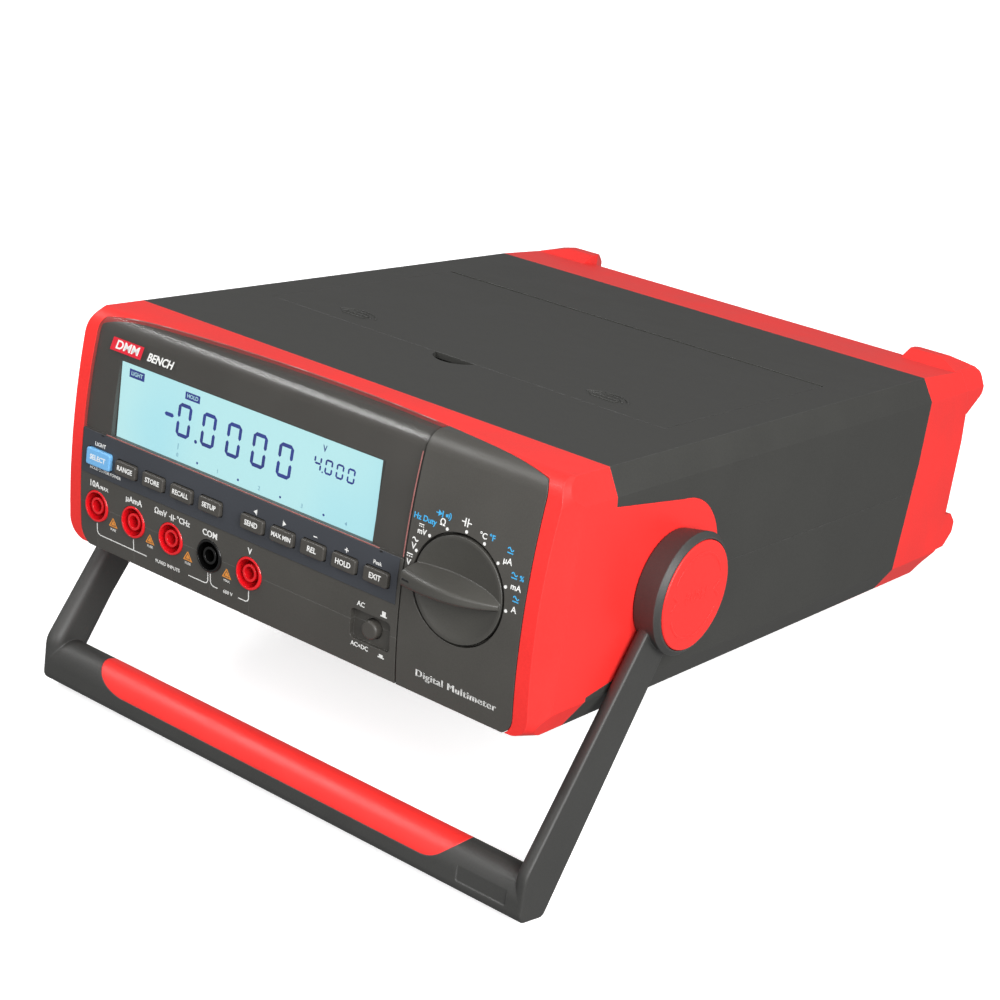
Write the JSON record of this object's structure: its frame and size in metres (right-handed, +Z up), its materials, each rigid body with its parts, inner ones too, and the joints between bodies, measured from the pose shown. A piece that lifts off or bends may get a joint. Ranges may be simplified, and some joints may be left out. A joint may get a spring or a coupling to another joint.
{
  "type": "bench multimeter",
  "caption": "Mains bench multimeter on a swing-down carrying handle, with front jacks, push keys, a range knob, an LCD and a lidded top compartment.",
  "frame": {"origin": "middle of the footprint on the bench, with the instrument standing on its handle bar and its two rear feet", "axes": "+X to the right as the user faces the instrument, +Y from the front panel to the rear, +Z up from the bench"},
  "size_m": [0.2654, 0.3512, 0.1626],
  "materials": {
    "case_grey": "fine textured moulded ABS",
    "bezel_red": "satin moulded ABS",
    "panel_grey": "satin moulded ABS",
    "overlay_film": "printed polyester film",
    "lens_clear": "clear polycarbonate",
    "lcd_glass": "liquid crystal cell",
    "black_plastic": "moulded nylon",
    "backlight": "edge lit acrylic light guide",
    "circuit_board": "glass epoxy with solder mask",
    "rubber_dark": "moulded rubber",
    "silicone_grey": "silicone rubber",
    "jack_red": "gloss nylon",
    "jack_black": "gloss nylon",
    "brass": "turned, nickel flashed",
    "key_grey": "satin moulded cap",
    "key_blue": "satin moulded cap",
    "knob_grey": "satin moulded ABS",
    "steel": "zinc plated",
    "glass_fuse": "glass tube with nickel caps",
    "core_and_winding": "varnished laminations and tape",
    "battery": "moulded holder with sleeved cells",
    "handle_grey": "fine textured nylon",
    "grip_red": "soft touch moulding"
  },
  "bodies": {
    "case": {"bottom_shell": "case_grey", "top_shell": "case_grey", "front_bezel": "bezel_red", "rear_bezel": "bezel_red", "feet": "rubber_dark", "input_panel": "panel_grey", "range_panel": "panel_grey", "keypad_overlay": "overlay_film", "display_lens": "lens_clear", "lcd_glass": "lcd_glass", "lcd_frame": "black_plastic", "backlight": "backlight", "display_board": "circuit_board", "key_mat": "silicone_grey", "jack_10a": "jack_red", "jack_ma": "jack_red", "jack_ohm": "jack_red", "jack_com": "jack_black", "jack_volt": "jack_red", "jack_sleeves": "brass", "acdc_switch": "black_plastic", "detent_spring": "steel", "switch_board": "circuit_board", "main_board": "circuit_board", "fuses": "glass_fuse", "fuse_clips": "brass", "transformer": "core_and_winding", "battery_pack": "battery", "battery_door": "case_grey", "case_screws": "steel", "board_screws": "steel", "storage_tray": "case_grey", "lid_hinge_pin": "steel", "rear_panel": "black_plastic", "power_inlet": "black_plastic", "rocker_housing": "black_plastic", "serial_port": "steel", "usb_port": "steel", "pivot_posts": "steel", "hub_washers": "steel"},
    "handle": {"handle_frame": "handle_grey", "handle_grip": "grip_red", "hub_springs": "steel"},
    "left_release": {"hub_button_left": "bezel_red"},
    "right_release": {"hub_button_right": "bezel_red"},
    "range_switch": {"range_knob": "knob_grey", "knob_rotor": "black_plastic"},
    "lid": {"lid": "case_grey"},
    "power_switch": {"power_rocker": "black_plastic"},
    "acdc_button": {"acdc_button": "key_grey"},
    "key_select": {"key_select": "key_blue"},
    "key_range": {"key_range": "key_grey"},
    "key_store": {"key_store": "key_grey"},
    "key_recall": {"key_recall": "key_grey"},
    "key_setup": {"key_setup": "key_grey"},
    "key_send": {"key_send": "key_grey"},
    "key_maxmin": {"key_maxmin": "key_grey"},
    "key_rel": {"key_rel": "key_grey"},
    "key_hold": {"key_hold": "key_grey"},
    "key_exit": {"key_exit": "key_grey"}
  },
  "joints": [
    {"name": "handle_swing", "type": "hinge", "parent": "case", "child": "handle", "pos_m": [0, -0.07971, 0.09717], "axis": [1, 0, 0], "range_deg": [-204, 90]},
    {"name": "left_release_press", "type": "slide", "parent": "handle", "child": "left_release", "axis": [1, 0, 0], "range_m": [0, 0.002], "stiffness_N_per_m": 1500, "springref_m": -0.001},
    {"name": "right_release_press", "type": "slide", "parent": "handle", "child": "right_release", "axis": [-1, 0, 0], "range_m": [0, 0.002], "stiffness_N_per_m": 1500, "springref_m": -0.001},
    {"name": "range_switch_turn", "type": "hinge", "parent": "case", "child": "range_switch", "pos_m": [0.0819, -0.15399, 0.11552], "axis": [0, 0.9748, -0.2233], "range_deg": [0, 180]},
    {"name": "lid_open", "type": "hinge", "parent": "case", "child": "lid", "pos_m": [0, 0.06031, 0.1164], "axis": [-1, 0, 0], "range_deg": [0, 90]},
    {"name": "power_rock", "type": "hinge", "parent": "case", "child": "power_switch", "pos_m": [-0.024, 0.14725, 0.04673], "axis": [1, 0, 0], "range_deg": [0, 14]},
    {"name": "acdc_press", "type": "slide", "parent": "case", "child": "acdc_button", "axis": [0, 0.9748, -0.2233], "range_m": [0, 0.003], "stiffness_N_per_m": 400, "springref_m": -0.001},
    {"name": "key_select_press", "type": "slide", "parent": "case", "child": "key_select", "axis": [0, 0.9748, -0.2233], "range_m": [0, 0.0012], "stiffness_N_per_m": 800, "springref_m": -0.0006},
    {"name": "key_range_press", "type": "slide", "parent": "case", "child": "key_range", "axis": [0, 0.9748, -0.2233], "range_m": [0, 0.0012], "stiffness_N_per_m": 800, "springref_m": -0.0006},
    {"name": "key_store_press", "type": "slide", "parent": "case", "child": "key_store", "axis": [0, 0.9748, -0.2233], "range_m": [0, 0.0012], "stiffness_N_per_m": 800, "springref_m": -0.0006},
    {"name": "key_recall_press", "type": "slide", "parent": "case", "child": "key_recall", "axis": [0, 0.9748, -0.2233], "range_m": [0, 0.0012], "stiffness_N_per_m": 800, "springref_m": -0.0006},
    {"name": "key_setup_press", "type": "slide", "parent": "case", "child": "key_setup", "axis": [0, 0.9748, -0.2233], "range_m": [0, 0.0012], "stiffness_N_per_m": 800, "springref_m": -0.0006},
    {"name": "key_send_press", "type": "slide", "parent": "case", "child": "key_send", "axis": [0, 0.9748, -0.2233], "range_m": [0, 0.0012], "stiffness_N_per_m": 800, "springref_m": -0.0006},
    {"name": "key_maxmin_press", "type": "slide", "parent": "case", "child": "key_maxmin", "axis": [0, 0.9748, -0.2233], "range_m": [0, 0.0012], "stiffness_N_per_m": 800, "springref_m": -0.0006},
    {"name": "key_rel_press", "type": "slide", "parent": "case", "child": "key_rel", "axis": [0, 0.9748, -0.2233], "range_m": [0, 0.0012], "stiffness_N_per_m": 800, "springref_m": -0.0006},
    {"name": "key_hold_press", "type": "slide", "parent": "case", "child": "key_hold", "axis": [0, 0.9748, -0.2233], "range_m": [0, 0.0012], "stiffness_N_per_m": 800, "springref_m": -0.0006},
    {"name": "key_exit_press", "type": "slide", "parent": "case", "child": "key_exit", "axis": [0, 0.9748, -0.2233], "range_m": [0, 0.0012], "stiffness_N_per_m": 800, "springref_m": -0.0006}
  ]
}
